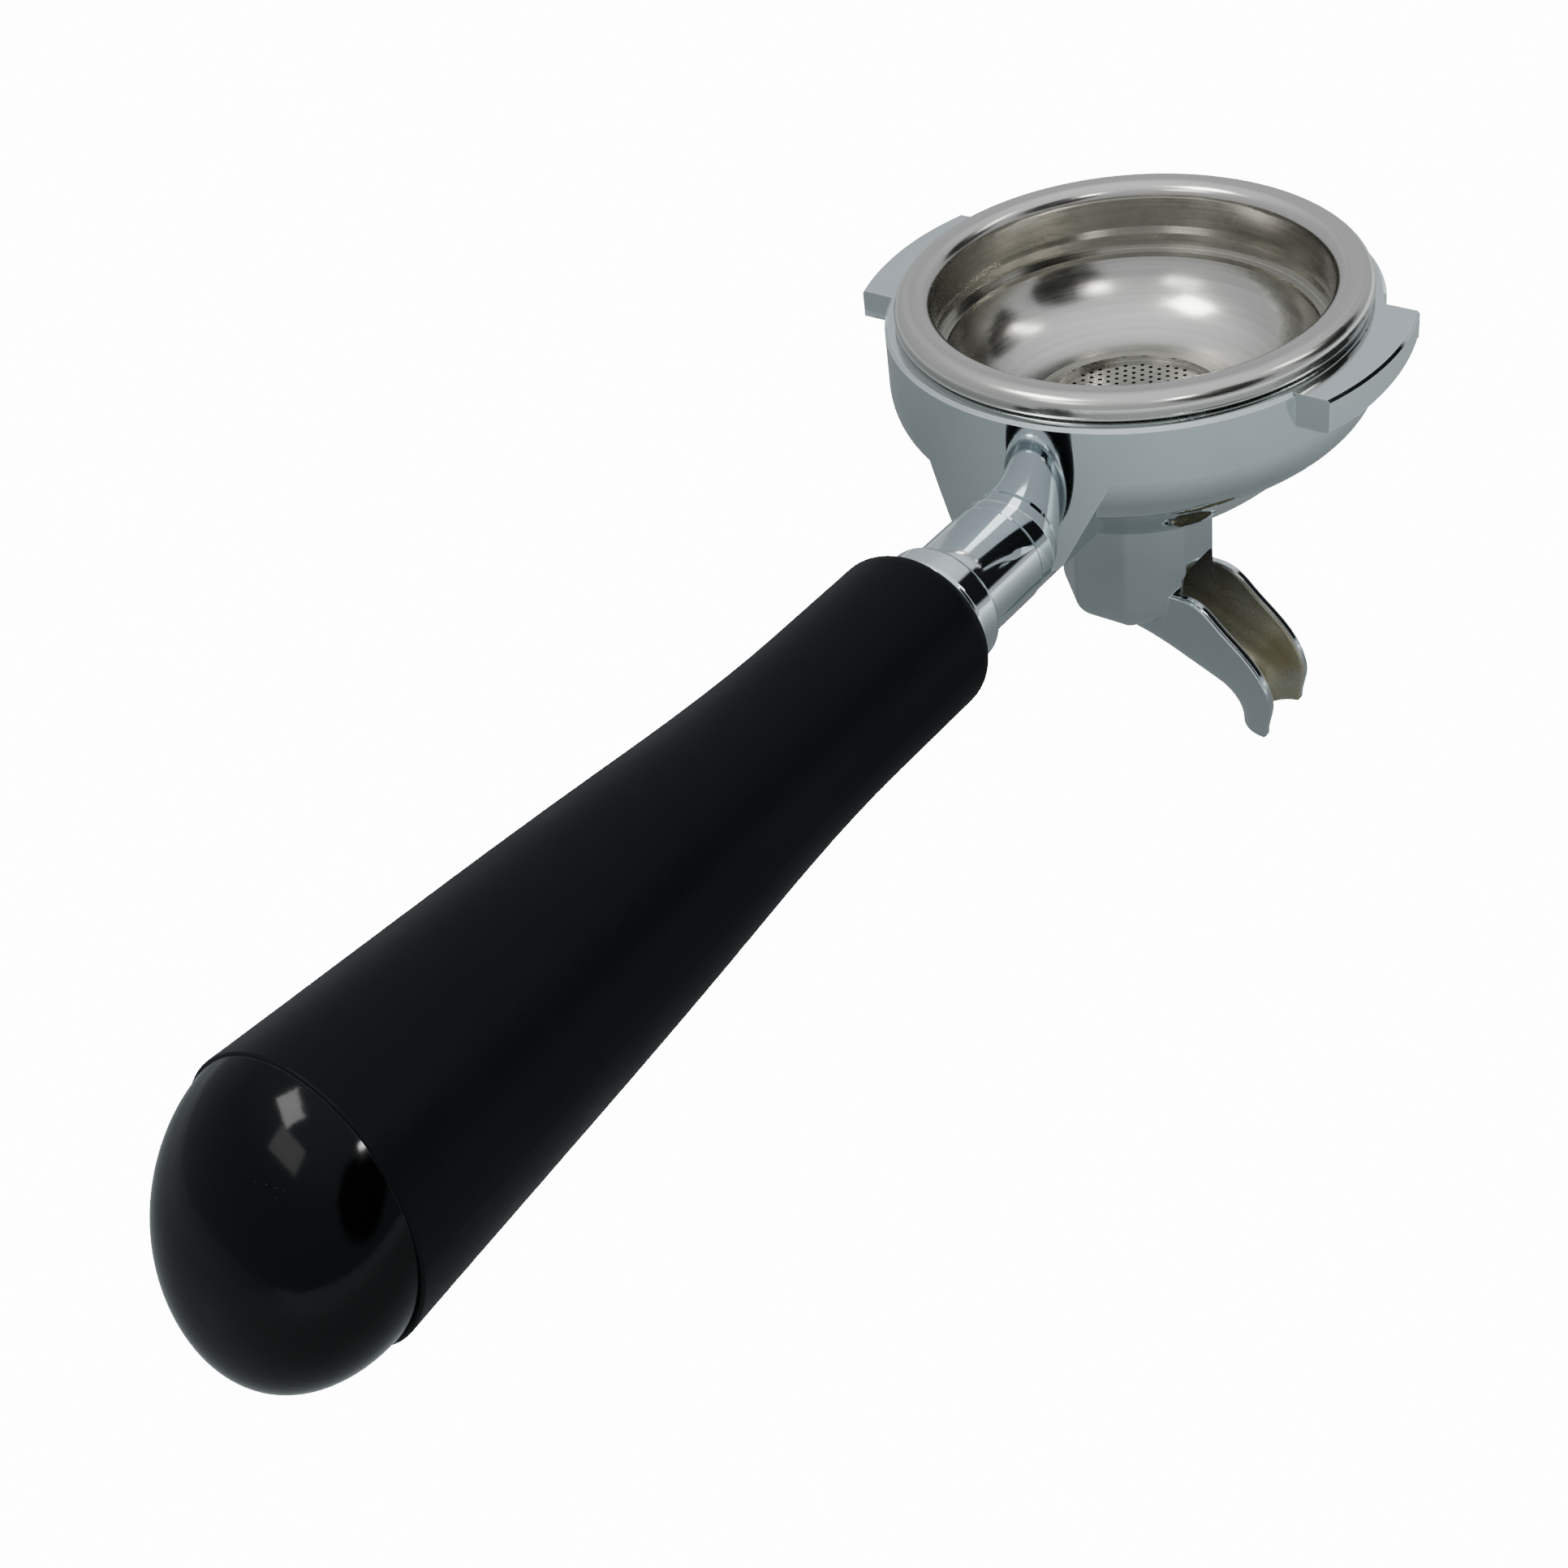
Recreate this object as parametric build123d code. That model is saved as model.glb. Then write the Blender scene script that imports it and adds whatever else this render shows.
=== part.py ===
from build123d import *
from math import atan2, cos, degrees, radians, sin, sqrt, tan
import os

# Portafilter for a 58 mm group, in millimetres.
# Origin: centre of the body's top rim. +Z up the bowl's axis, -Y along the handle, ears on +X and -X.

# Filter basket
BASKET_INNER_R = 29.3
SHEET = 0.8
LIP_WIDTH = 5.7
LIP_HEIGHT = 3.9
LIP_BEAD = 2.4              # width of the turned-under hem
LIP_TOP_ROUND = 2.2
LIP_FOOT_ROUND = 1.1
BASKET_CLEARANCE = 0.35     # radial, basket wall to body bore
BEAD_DEPTH = 4.4            # pressed retaining bead, below the rim
BEAD_HALF_HEIGHT = 1.3
BEAD_BULGE = 0.12
LEDGE_DEPTH = 6.9
LEDGE_WIDTH = 1.2
LEDGE_WALL = 0.9
FUNNEL_R = 16.0
FUNNEL_DEPTH = 17.6
FUNNEL_SAG = 2.6
PLATE_RECESS = 1.7          # width of the flat ring round the perforated plate
PLATE_DEPTH = 18.5
PLATE_THICK = 0.6
HOLE_R = 0.34
HOLE_PITCH = 1.5
HOLE_MARGIN = 0.7

# Body casting
BODY_WALL = 6.15            # bowl's upright wall, outside the basket bore
BODY_WALL_DEPTH = 9.0       # height of the upright part of the wall
BODY_DEPTH = 31.8           # top rim down to the outlet face
RIM_CHAMFER = 0.5
SHOULDER_INSET = 6.4        # where the rounded flank turns into the belly, in from the wall
SHOULDER_RISE = 12.8        # and above the outlet face
FLANK_INSET = 12.6
FLANK_RISE = 6.8
BELLY_SLOPE = 0.3           # rise of the belly per unit of radius, beside the outlet face
FACE_MARGIN = 3.1           # flat of the outlet face round the seal
CAVITY_WALL_DEPTH = 12.5
CAVITY_FLOOR_R = 21.0
CAVITY_FLOOR_RISE = 8.4     # edge of the cavity's floor, above the outlet face
OUTLET_WALL = 5.2           # floor of the cavity to the outlet face

# Bayonet ears
EAR_REACH = 4.9
EAR_HALF_WIDTH = 13.5
EAR_THICK = 5.4             # under the leading end
EAR_THIN = 3.4              # under the trailing end
EAR_BREAK = 0.4

# Basket spring
WIRE_R = 0.6
WIRE_DEPTH = 2.2
WIRE_CLEARANCE = 0.12
WIRE_GAP_ANGLE = 16.0

# Outlet thread, seal and spout
OUTLET_R = 8.33
THREAD_CLEARANCE = 0.06
NIPPLE_LENGTH = 4.7
SEAL_WIDTH = 1.57
SEAL_THICK = 0.9
SEAL_STAND = 0.1            # seal stands this far out of its recess
SEAL_CLEARANCE = 0.1
SPOUT_SHOULDER = 2.77       # width of the spout's face outside its thread
SPOUT_SIDES = 8
SPOUT_CORNER = 1.6
SPOUT_BASE_LENGTH = 22.0
SPOUT_BASE_ROUND = 5.5
SPOUT_BORE_R = 4.6
TROUGH_WALL = 1.8
TROUGH_DROP = 18.9          # outlet face down to the trough's centreline at the bowl's axis
TROUGH_TILT = 10.0
TROUGH_BEND_R = 50.0
TROUGH_BEND = 14.0
TROUGH_RUN = 8.0
TROUGH_NOSE_R = 12.5
TROUGH_NOSE_BEND = 62.0
TROUGH_END = 1.0
WINDOW_RISE = 7.5           # top of the opening in the base's side, above the centreline's start
WINDOW_ROUND = 1.5
LIP_START = 4.0             # where the trough's lips leave the base, above the centreline's start
LIP_LINE = ((6.9, 3.8), (13.2, 9.9), (15.9, 16.2), (15.2, 21.0))    # reach from the base, and drop
TROUGH_EDGE_ROUND = 0.5
SPOUT_TURN = 0.0            # where the thread pulls up tight, from square to the handle

# Handle
HANDLE_DEPTH = 21.95        # rim down to the handle's axis
BOSS_HALF_WIDTH = 15.6
BOSS_TOP_DEPTH = 9.8
BOSS_FOOT_MARGIN = 1.3      # half width of the boss's foot beyond the seat
BOSS_FOOT_DROP = 1.2        # foot corners, below the handle's axis
BOSS_BASE_DROP = 3.2        # flat underside, below the handle's axis
BOSS_REACH = 16.0
SEAT_STAND = 2.1            # bowl's wall to the face that the sleeve pulls up to
SEAT_STEP = 0.2             # seat's radius under the sleeve's
SEAT_ROOT = 22.0            # how deep the seat's cylinder is rooted in the bowl
BOLT_R = 5.0
BOLT_CLEARANCE = 0.2
BOLT_THREAD_DEPTH = 10.0
BOLT_POINT = 1.0
SLEEVE_WALL = 2.9
SLEEVE_LENGTH = 13.6
SLEEVE_CHAMFER = 0.6
FERRULE_WALL = 1.5
FERRULE_LENGTH = 4.9
FERRULE_ROUND = 0.9
FERRULE_SOCKET = 3.0
SPIGOT_STEP = 2.2
SPIGOT_LENGTH = 5.0
CUSHION_THICK = 0.8
CUSHION_LAND = 0.4
GRIP_FRONT_STEP = 3.1       # grip's front radius beyond the ferrule's
GRIP_FRONT_ROUND = 3.4
GRIP_WAIST_LENGTH = 22.0
GRIP_MIDDLE_R = 15.2
GRIP_REAR_R = 19.6
GRIP_REAR_FLARE = 0.07      # rise of the radius per unit of length, at the rear
GRIP_LENGTH = 127.4
GRIP_STEP_ROUND = 0.4
END_SLANT = 9.7             # rear face of the grip leans in at the top, degrees
CAP_STEP = 0.6
CAP_LENGTH = 16.6
CAP_DROOP = 3.4             # crown of the cap, below the handle's axis
CAP_CROWN_SLANT = 15.7
CAP_FULLNESS = 0.8          # 1 is a half-ellipse in side view, less is fuller
CAP_ANGLES = (0, 12, 24, 36, 48, 59, 69, 77, 83, 87.5)      # where the cap's outline is set
BOLT_HEAD_STEP = 3.0
BOLT_HEAD_LENGTH = 9.0
BOLT_HEAD_CHAMFER = 0.6
BOLT_KEY = 8.0
BOLT_KEY_SIDES = 6
BOLT_KEY_DEPTH = 5.0
WASHER_STEP = 4.5
WASHER_THICK = 1.6
LOCK_WASHER_STEP = 3.4
LOCK_WASHER_THICK = 2.2
LOCK_WASHER_SPLIT = 1.2
WELL_CLEARANCE = 1.1        # round the washer, in the counterbore in the rear of the grip
WELL_DEPTH = 34.0
CAP_SPIGOT_LENGTH = 10.0
CAP_SPIGOT_CLEARANCE = 0.15
CAP_SPIGOT_WALL = 2.25
RING_R = 0.9                # section of the rubber ring on the cap's spigot

lip_r = BASKET_INNER_R + LIP_WIDTH
plate_r = FUNNEL_R - PLATE_RECESS
bore_r = BASKET_INNER_R + SHEET + BASKET_CLEARANCE
body_r = bore_r + BODY_WALL
ear_r = body_r + EAR_REACH
seal_r = OUTLET_R + SEAL_WIDTH
outlet_face_r = seal_r + FACE_MARGIN
spout_top = -BODY_DEPTH - SEAL_STAND
spout_half = OUTLET_R + SPOUT_SHOULDER
trough_r = SPOUT_BORE_R + TROUGH_WALL
bolt_hole_r = BOLT_R + BOLT_CLEARANCE
sleeve_r = bolt_hole_r + SLEEVE_WALL
seat_r = sleeve_r - SEAT_STEP
ferrule_r = sleeve_r + FERRULE_WALL
spigot_r = ferrule_r - SPIGOT_STEP
grip_front_r = ferrule_r + GRIP_FRONT_STEP
washer_r = BOLT_R + WASHER_STEP
well_r = washer_r + WELL_CLEARANCE
seat_y = body_r + SEAT_STAND
ferrule_y = seat_y + SLEEVE_LENGTH
grip_y = ferrule_y + FERRULE_LENGTH + CUSHION_THICK
grip_end_y = grip_y + GRIP_LENGTH
well_y = grip_end_y - WELL_DEPTH
slant_rise = GRIP_REAR_R * tan(radians(END_SLANT))


def turned(points):
    """Solid of revolution about Z from a closed outline of radius and height pairs."""
    outline = Plane.XZ * Polyline(*points, close=True)
    return revolve(make_face(outline), Axis.Z)


def on_handle(shape):
    """Turn a shape built along +Z so that it runs along -Y from the bowl's axis, at the handle's height."""
    return Pos(0, 0, -HANDLE_DEPTH) * Rot(90, 0, 0) * shape


def disc(radius, start, length):
    return Pos(0, 0, start) * Cylinder(radius, length, align=(Align.CENTER, Align.CENTER, Align.MIN))


def ring(outer, inner, start, length):
    return disc(outer, start, length) - disc(inner, start, length)


def make_ear(side):
    """One bayonet ear, with its underside ramped from the thick end to the thin one."""
    blank = disc(ear_r, -EAR_THICK, EAR_THICK)
    slab = Pos(ear_r / 2, 0, -EAR_THICK / 2) * Box(ear_r, 2 * EAR_HALF_WIDTH, EAR_THICK)
    ear = blank & slab
    ear = chamfer(ear.edges().filter_by(GeomType.CIRCLE), EAR_BREAK)
    slope = degrees(atan2(EAR_THICK - EAR_THIN, 2 * EAR_HALF_WIDTH))
    ramp = Pos(ear_r / 2, -EAR_HALF_WIDTH, -EAR_THICK) * Rot(slope, 0, 0) * Box(
        2 * ear_r, 4 * EAR_HALF_WIDTH, EAR_THICK, align=(Align.CENTER, Align.CENTER, Align.MAX))
    ear -= ramp
    return Rot(0, 0, 0 if side > 0 else 180) * ear


def make_boss():
    """Shield-shaped pad that carries the bowl's wall down round the handle's seat."""
    foot = seat_r + BOSS_FOOT_MARGIN
    foot_z = -HANDLE_DEPTH - BOSS_FOOT_DROP
    base = seat_r - BOSS_FOOT_MARGIN
    base_z = -HANDLE_DEPTH - BOSS_BASE_DROP
    half = [
        (BOSS_HALF_WIDTH, -BOSS_TOP_DEPTH / 2), (BOSS_HALF_WIDTH, -BOSS_TOP_DEPTH),
        (foot, foot_z), (base, base_z)]
    other = [(-x, z) for x, z in reversed(half)]
    shield = make_face(Plane.XZ * Polyline(*half, *other, close=True))
    pad = extrude(shield, body_r, dir=(0, -1, 0))
    round_wall = disc(body_r, -2 * BODY_DEPTH, 2 * BODY_DEPTH)
    hollow = disc(body_r - BOSS_REACH, -2 * BODY_DEPTH, 2 * BODY_DEPTH)
    return (pad & round_wall) - hollow


def make_body():
    with BuildSketch(Plane.XZ) as section:
        with BuildLine():
            Line((0, -RIM_CHAMFER), (0, -BODY_DEPTH))
            Line((0, -BODY_DEPTH), (outlet_face_r, -BODY_DEPTH))
            belly = Spline(
                (outlet_face_r, -BODY_DEPTH), (body_r - FLANK_INSET, FLANK_RISE - BODY_DEPTH),
                (body_r - SHOULDER_INSET, SHOULDER_RISE - BODY_DEPTH), (body_r, -BODY_WALL_DEPTH),
                tangents=((1, BELLY_SLOPE), (0, 1)))
            Line(belly @ 1, (body_r, -RIM_CHAMFER))
            Line((body_r, -RIM_CHAMFER), (body_r - RIM_CHAMFER, 0))
            Line((body_r - RIM_CHAMFER, 0), (0, 0))
            Line((0, 0), (0, -RIM_CHAMFER))
        make_face()
    body = revolve(section.sketch, Axis.Z)
    body += make_boss()
    body += on_handle(disc(seat_r, seat_y - SEAT_ROOT, SEAT_ROOT))
    for side in (1, -1):
        body += make_ear(side)
    cavity_depth = BODY_DEPTH - OUTLET_WALL
    body -= turned([
        (0, RIM_CHAMFER), (bore_r, RIM_CHAMFER), (bore_r, -CAVITY_WALL_DEPTH),
        (CAVITY_FLOOR_R, CAVITY_FLOOR_RISE - BODY_DEPTH), (OUTLET_R, -cavity_depth), (0, -cavity_depth)])
    groove_r = bore_r + 2 * WIRE_R + 2 * WIRE_CLEARANCE
    body -= ring(groove_r, bore_r - WIRE_R, -WIRE_DEPTH - WIRE_R, 2 * WIRE_R)
    body -= disc(OUTLET_R, -BODY_DEPTH, OUTLET_WALL)
    body -= disc(seal_r, -BODY_DEPTH, SEAL_THICK - SEAL_STAND)
    body -= on_handle(disc(BOLT_R, seat_y - BOLT_THREAD_DEPTH, BOLT_THREAD_DEPTH))
    return body


def make_basket():
    outer_r = BASKET_INNER_R + SHEET
    hem_r = lip_r - LIP_BEAD
    ledge_r = BASKET_INNER_R - LEDGE_WIDTH
    inner = [
        (BASKET_INNER_R, LIP_HEIGHT), (BASKET_INNER_R, BEAD_HALF_HEIGHT - BEAD_DEPTH),
        (BASKET_INNER_R + BEAD_BULGE, -BEAD_DEPTH), (BASKET_INNER_R, -BEAD_HALF_HEIGHT - BEAD_DEPTH),
        (BASKET_INNER_R, -LEDGE_DEPTH), (ledge_r, -LEDGE_DEPTH), (ledge_r, -LEDGE_DEPTH - LEDGE_WALL)]
    outer = [
        (ledge_r + SHEET, -LEDGE_DEPTH - LEDGE_WALL), (ledge_r + SHEET, -LEDGE_DEPTH - SHEET),
        (outer_r, -LEDGE_DEPTH - SHEET), (outer_r, -BEAD_HALF_HEIGHT - BEAD_DEPTH),
        (outer_r + BEAD_BULGE, -BEAD_DEPTH), (outer_r, BEAD_HALF_HEIGHT - BEAD_DEPTH),
        (outer_r, LIP_HEIGHT - SHEET), (hem_r, LIP_HEIGHT - SHEET), (hem_r, 0), (lip_r, 0),
        (lip_r, LIP_HEIGHT), (BASKET_INNER_R, LIP_HEIGHT)]
    middle = ((ledge_r + FUNNEL_R) / 2, -(LEDGE_DEPTH + LEDGE_WALL + FUNNEL_DEPTH) / 2 - FUNNEL_SAG)
    with BuildSketch(Plane.XZ) as section:
        with BuildLine():
            Polyline(*inner)
            ThreePointArc(inner[-1], middle, (FUNNEL_R, -FUNNEL_DEPTH))
            Polyline(
                (FUNNEL_R, -FUNNEL_DEPTH), (plate_r, -FUNNEL_DEPTH), (plate_r, -PLATE_DEPTH - PLATE_THICK),
                (FUNNEL_R, -PLATE_DEPTH - PLATE_THICK))
            ThreePointArc(
                (FUNNEL_R, -PLATE_DEPTH - PLATE_THICK), (middle[0] + SHEET / 2, middle[1] - SHEET), outer[0])
            Polyline(*outer)
        make_face()
        top_in = section.vertices().sort_by_distance((BASKET_INNER_R, LIP_HEIGHT))[0]
        top_out = section.vertices().sort_by_distance((lip_r, LIP_HEIGHT))[0]
        fillet([top_in, top_out], LIP_TOP_ROUND)
        foot = section.vertices().sort_by_distance((lip_r, 0))[0]
        fillet(foot, LIP_FOOT_ROUND)
    wall = revolve(section.sketch, Axis.Z)
    with BuildSketch(Plane.XY.offset(-PLATE_DEPTH - PLATE_THICK)) as plate:
        Circle(plate_r)
        with Locations(*hole_places()):
            Circle(HOLE_R, mode=Mode.SUBTRACT)
    return wall + extrude(plate.sketch, PLATE_THICK)


def hole_places():
    """Centres of the brewing holes, in staggered rows."""
    reach = plate_r - HOLE_R - HOLE_MARGIN
    row_pitch = HOLE_PITCH * sqrt(3) / 2
    rows = int(reach / row_pitch) + 1
    places = []
    for row in range(-rows, rows + 1):
        for step in range(-rows, rows + 1):
            place = ((step + (row % 2) / 2) * HOLE_PITCH, row * row_pitch)
            if place[0] ** 2 + place[1] ** 2 < reach ** 2:
                places.append(place)
    return places


def make_spring():
    centre_r = bore_r + WIRE_R + WIRE_CLEARANCE
    wire = Plane.XZ * Pos(centre_r, -WIRE_DEPTH) * Circle(WIRE_R)
    return revolve(wire, Axis.Z, revolution_arc=360 - WIRE_GAP_ANGLE)


def make_seal():
    return ring(seal_r - SEAL_CLEARANCE, OUTLET_R + SEAL_CLEARANCE, spout_top, SEAL_THICK)


def trough_path():
    start = (0, -BODY_DEPTH - TROUGH_DROP)
    heading = (cos(radians(-TROUGH_TILT)), sin(radians(-TROUGH_TILT)))
    with BuildLine(Plane.XZ) as path:
        bend = JernArc(start, heading, TROUGH_BEND_R, -TROUGH_BEND)
        run = Line(bend @ 1, (bend @ 1) + (bend % 1) * TROUGH_RUN)
        nose = JernArc(run @ 1, run % 1, TROUGH_NOSE_R, -TROUGH_NOSE_BEND)
        Line(nose @ 1, (nose @ 1) + (nose % 1) * TROUGH_END)
    return path.line


def tube(path, radius):
    end = Plane(origin=path @ 0, z_dir=path % 0)
    return sweep(end * Circle(radius), path)


def lip_points(path):
    """The trough's lips in side view, from the base's side to the nose."""
    first = (spout_half, (path @ 0).Z + LIP_START)
    return [first] + [(first[0] + reach, first[1] - drop) for reach, drop in LIP_LINE]


def above_centreline(path, half_width):
    """Slab over the trough's centreline, taller than its lips."""
    top = (path @ 0).Z + WINDOW_RISE
    start = path @ 0
    end = path @ 1
    front = end.X + trough_r
    bend, run, nose, tip = path.edges()
    with BuildSketch(Plane.XZ) as side:
        with BuildLine():
            ThreePointArc((start.X, start.Z), ((bend @ 0.5).X, (bend @ 0.5).Z), ((bend @ 1).X, (bend @ 1).Z))
            Line(((run @ 0).X, (run @ 0).Z), ((run @ 1).X, (run @ 1).Z))
            ThreePointArc(
                ((nose @ 0).X, (nose @ 0).Z), ((nose @ 0.5).X, (nose @ 0.5).Z), ((nose @ 1).X, (nose @ 1).Z))
            Line(((tip @ 0).X, (tip @ 0).Z), (end.X, end.Z))
            Line((end.X, end.Z), (front, end.Z))
            Line((front, end.Z), (front, top))
            Line((front, top), (start.X, top))
            Line((start.X, top), (start.X, start.Z))
        make_face()
    return extrude(side.sketch, half_width, both=True)


def lip_cut(path):
    """Everything above the level where the lips start, and above the lips."""
    far = (path @ 1).X + 2 * trough_r
    top = spout_top
    points = lip_points(path)
    last = points[-1]
    before = points[-2]
    low = (path @ 1).Z - trough_r
    with BuildSketch(Plane.XZ) as cut:
        with BuildLine():
            Spline(*points, tangents=((1, 0), (last[0] - before[0], last[1] - before[1])))
            Line(last, (last[0], low))
            Line((last[0], low), (far, low))
            Line((far, low), (far, top))
            Line((far, top), (-far, top))
            Line((-far, top), (-far, points[0][1]))
            Line((-far, points[0][1]), points[0])
        make_face()
    return extrude(cut.sketch, far, both=True)


def make_spout():
    path = trough_path()
    start = path @ 0
    outline = RegularPolygon(spout_half, SPOUT_SIDES, major_radius=False, rotation=180 / SPOUT_SIDES)
    outline = fillet(outline.vertices(), SPOUT_CORNER)
    base = Pos(0, 0, spout_top - SPOUT_BASE_LENGTH) * extrude(outline, SPOUT_BASE_LENGTH)
    base = fillet(base.faces().sort_by(Axis.Z)[0].edges(), SPOUT_BASE_ROUND)
    base += Pos(0, 0, start.Z) * Sphere(trough_r)
    window = above_centreline(path, SPOUT_BORE_R)
    window = fillet(window.edges().filter_by(Axis.X).sort_by(Axis.Z)[-2:], WINDOW_ROUND)
    channel = tube(path, SPOUT_BORE_R) + window
    trough = tube(path, trough_r) + above_centreline(path, trough_r) - lip_cut(path) - channel
    rounded = trough.edges().filter_by_position(Axis.X, SPOUT_CORNER, body_r)
    spout = base - channel + fillet(rounded, TROUGH_EDGE_ROUND)
    spout += disc(OUTLET_R - THREAD_CLEARANCE, spout_top, NIPPLE_LENGTH)
    spout -= disc(SPOUT_BORE_R, start.Z, NIPPLE_LENGTH - start.Z)
    spout -= Pos(0, 0, start.Z) * Sphere(SPOUT_BORE_R)
    return Rot(0, 0, SPOUT_TURN) * spout


def make_sleeve():
    body = disc(sleeve_r, seat_y, SLEEVE_LENGTH + FERRULE_SOCKET)
    body = chamfer(body.edges().filter_by(GeomType.CIRCLE).sort_by(Axis.Z)[0], SLEEVE_CHAMFER)
    body -= disc(bolt_hole_r, seat_y, SLEEVE_LENGTH + FERRULE_SOCKET)
    return on_handle(body)


def make_ferrule():
    collar = disc(ferrule_r, ferrule_y, FERRULE_LENGTH)
    collar = fillet(collar.edges().filter_by(GeomType.CIRCLE), FERRULE_ROUND)
    collar += disc(spigot_r, ferrule_y + FERRULE_LENGTH, SPIGOT_LENGTH)
    collar -= disc(sleeve_r, ferrule_y, FERRULE_SOCKET)
    collar -= disc(bolt_hole_r, ferrule_y, FERRULE_LENGTH + SPIGOT_LENGTH)
    return on_handle(collar)


def make_cushion():
    outer_r = ferrule_r - FERRULE_ROUND - CUSHION_LAND
    return on_handle(ring(outer_r, spigot_r, ferrule_y + FERRULE_LENGTH, CUSHION_THICK))


def beyond_slant():
    """Everything behind the grip's slanted rear face."""
    size = 4 * GRIP_REAR_R
    block = Box(size, size, size, align=(Align.CENTER, Align.CENTER, Align.MIN))
    return Pos(0, 0, grip_end_y) * Rot(-END_SLANT, 0, 0) * block


def make_grip():
    waist_y = grip_y + GRIP_WAIST_LENGTH
    middle_y = (grip_y + grip_end_y) / 2
    tail_y = grip_end_y + 2 * slant_rise
    tail_r = GRIP_REAR_R + 2 * slant_rise * GRIP_REAR_FLARE
    with BuildSketch(Plane.XZ) as section:
        with BuildLine():
            Line((0, tail_y), (0, grip_y))
            Line((0, grip_y), (grip_front_r, grip_y))
            Line((grip_front_r, grip_y), (grip_front_r, waist_y))
            flare = Spline(
                (grip_front_r, waist_y), (GRIP_MIDDLE_R, middle_y), (GRIP_REAR_R, grip_end_y),
                tangents=((0, 1), (GRIP_REAR_FLARE, 1)))
            Line(flare @ 1, (tail_r, tail_y))
            Line((tail_r, tail_y), (0, tail_y))
        make_face()
        front = section.vertices().sort_by_distance((grip_front_r, grip_y))[0]
        fillet(front, GRIP_FRONT_ROUND)
    grip = revolve(section.sketch, Axis.Z) - beyond_slant()
    grip = fillet(grip.edges().sort_by(Axis.Z)[-1], GRIP_STEP_ROUND)
    grip -= disc(spigot_r, grip_y, SPIGOT_LENGTH)
    grip -= disc(bolt_hole_r, grip_y, GRIP_LENGTH)
    grip -= disc(well_r, well_y, WELL_DEPTH + 2 * slant_rise)
    return on_handle(grip)


def make_bolt():
    head_y = well_y + WASHER_THICK + LOCK_WASHER_THICK
    start = seat_y - BOLT_THREAD_DEPTH
    bolt = disc(BOLT_R, start, head_y - start)
    bolt = chamfer(bolt.edges().filter_by(GeomType.CIRCLE).sort_by(Axis.Z)[0], BOLT_POINT)
    head = disc(BOLT_R + BOLT_HEAD_STEP, head_y, BOLT_HEAD_LENGTH)
    head = chamfer(head.edges().filter_by(GeomType.CIRCLE).sort_by(Axis.Z)[-1], BOLT_HEAD_CHAMFER)
    key = extrude(RegularPolygon(BOLT_KEY / 2, BOLT_KEY_SIDES, major_radius=False), BOLT_KEY_DEPTH)
    bolt += head - Pos(0, 0, head_y + BOLT_HEAD_LENGTH - BOLT_KEY_DEPTH) * key
    return on_handle(bolt)


def make_washer():
    return on_handle(ring(washer_r, bolt_hole_r, well_y, WASHER_THICK))


def make_lock_washer():
    outer_r = BOLT_R + LOCK_WASHER_STEP
    start = well_y + WASHER_THICK
    split = Pos(outer_r, 0, start) * Box(
        2 * outer_r, LOCK_WASHER_SPLIT, LOCK_WASHER_THICK, align=(Align.CENTER, Align.CENTER, Align.MIN))
    return on_handle(ring(outer_r, bolt_hole_r, start, LOCK_WASHER_THICK) - split)


def make_cap():
    base_r = GRIP_REAR_R - CAP_STEP
    outlines = []
    for angle in CAP_ANGLES:
        turn = radians(angle)
        share = angle / CAP_ANGLES[-1]
        slant = radians(END_SLANT + (CAP_CROWN_SLANT - END_SLANT) * share)
        radius = base_r * cos(turn) ** CAP_FULLNESS
        place = Plane(
            origin=(0, -CAP_DROOP * sin(turn), grip_end_y + CAP_LENGTH * sin(turn)), x_dir=(1, 0, 0),
            z_dir=(0, sin(slant), cos(slant)))
        outlines.append(place * Ellipse(radius, radius / cos(slant)))
    cap = loft(outlines)
    spigot_y = grip_end_y - CAP_SPIGOT_LENGTH
    cap += disc(well_r - CAP_SPIGOT_CLEARANCE, spigot_y, CAP_SPIGOT_LENGTH + slant_rise)
    cap -= disc(well_r - CAP_SPIGOT_WALL, spigot_y, CAP_SPIGOT_LENGTH)
    cap -= ring(well_r + RING_R, well_r - 2 * RING_R, ring_y() - RING_R, 2 * RING_R)
    return on_handle(cap)


def ring_y():
    return grip_end_y - slant_rise - CAP_SPIGOT_LENGTH / 2


def make_cap_ring():
    return on_handle(Pos(0, 0, ring_y()) * Torus(well_r - RING_R, RING_R))


pieces = {
    "portafilter_body": make_body,
    "basket_spring": make_spring,
    "filter_basket": make_basket,
    "outlet_seal": make_seal,
    "spout": make_spout,
    "stem_sleeve": make_sleeve,
    "ferrule": make_ferrule,
    "grip_cushion": make_cushion,
    "grip": make_grip,
    "handle_bolt": make_bolt,
    "bolt_washer": make_washer,
    "bolt_lock_washer": make_lock_washer,
    "end_cap": make_cap,
    "cap_ring": make_cap_ring,
}

os.makedirs("parts", exist_ok=True)
for name, make in pieces.items():
    export_step(make(), f"parts/{name}.step")
    print(name)
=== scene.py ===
import bpy
import bmesh
from math import sin, cos, radians
from mathutils import Vector, Matrix


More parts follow.
